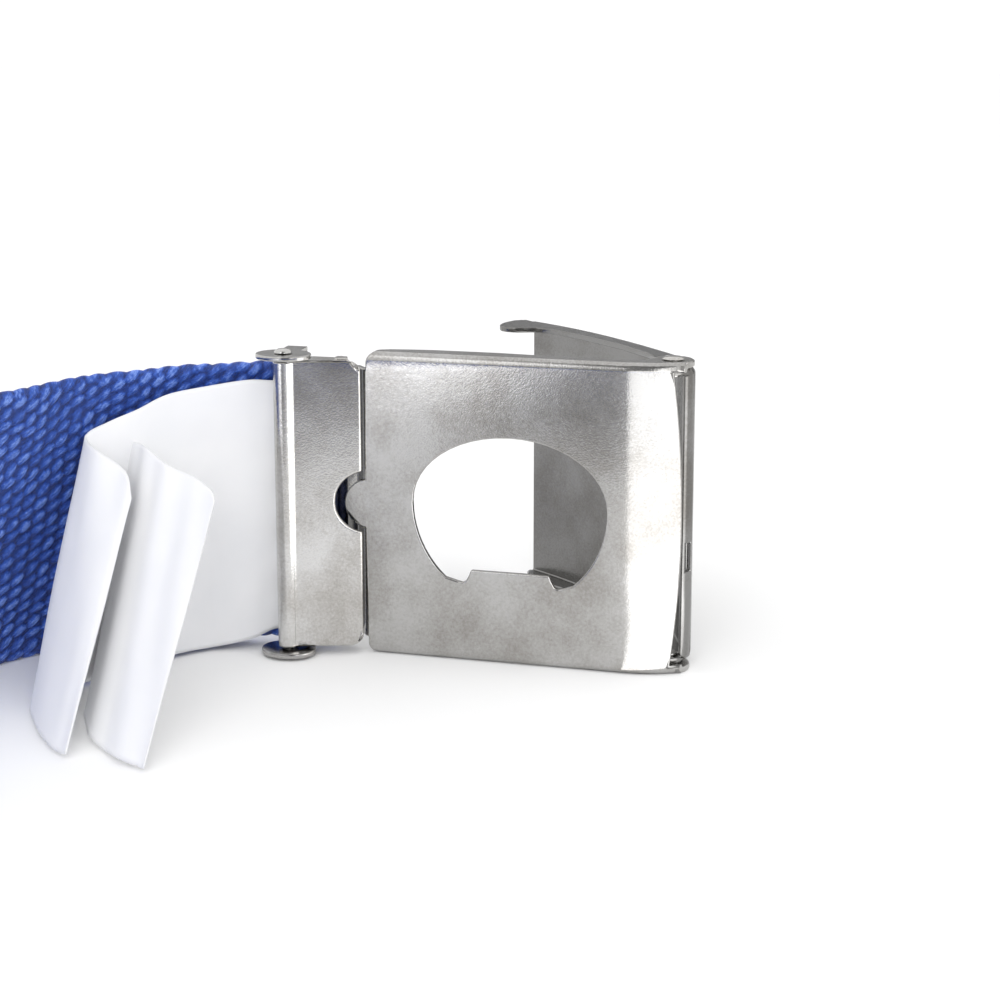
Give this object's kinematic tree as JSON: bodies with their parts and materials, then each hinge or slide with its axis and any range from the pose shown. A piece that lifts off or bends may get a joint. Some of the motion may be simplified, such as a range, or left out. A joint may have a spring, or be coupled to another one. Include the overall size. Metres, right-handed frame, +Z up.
{
  "type": "web belt",
  "caption": "Woven waist strap held in a steel flip buckle: a clamping jaw on one side, a hinged cover lever on the other.",
  "frame": {"origin": "under the middle of the whole belt's box, at the level it stands on", "axes": "+X along the buckle's plate towards the cover's hinge, +Y out of the back of the plate, away from the wearer's waist, +Z up, the belt standing on its lower edge"},
  "size_m": [0.3618, 0.4336, 0.0436],
  "materials": {
    "buckle_frame": "satin nickel over pressed sheet",
    "cover": "satin nickel over pressed sheet",
    "cover_pin_bottom": "satin",
    "cover_pin_top": "satin",
    "clamp_jaw": "satin nickel over pressed sheet",
    "jaw_pin": "satin",
    "webbing_strap": "close twill weave, matt with a slight thread sheen",
    "care_label": "smooth satin tape"
  },
  "bodies": {
    "frame": {"buckle_frame": "buckle_frame", "cover_pin_bottom": "cover_pin_bottom", "cover_pin_top": "cover_pin_top", "jaw_pin": "jaw_pin", "webbing_strap": "webbing_strap", "care_label": "care_label"},
    "cover": {"cover": "cover"},
    "jaw": {"clamp_jaw": "clamp_jaw"}
  },
  "joints": [
    {"name": "cover_hinge", "type": "hinge", "parent": "frame", "child": "cover", "pos_m": [0.00555, 0.1841, 0.0215], "axis": [0, 0, -1], "range_deg": [-44, 44]},
    {"name": "jaw_hinge", "type": "hinge", "parent": "frame", "child": "jaw", "pos_m": [-0.04675, 0.1764, 0.0215], "axis": [0, 0, -1], "range_deg": [0, 85]}
  ]
}
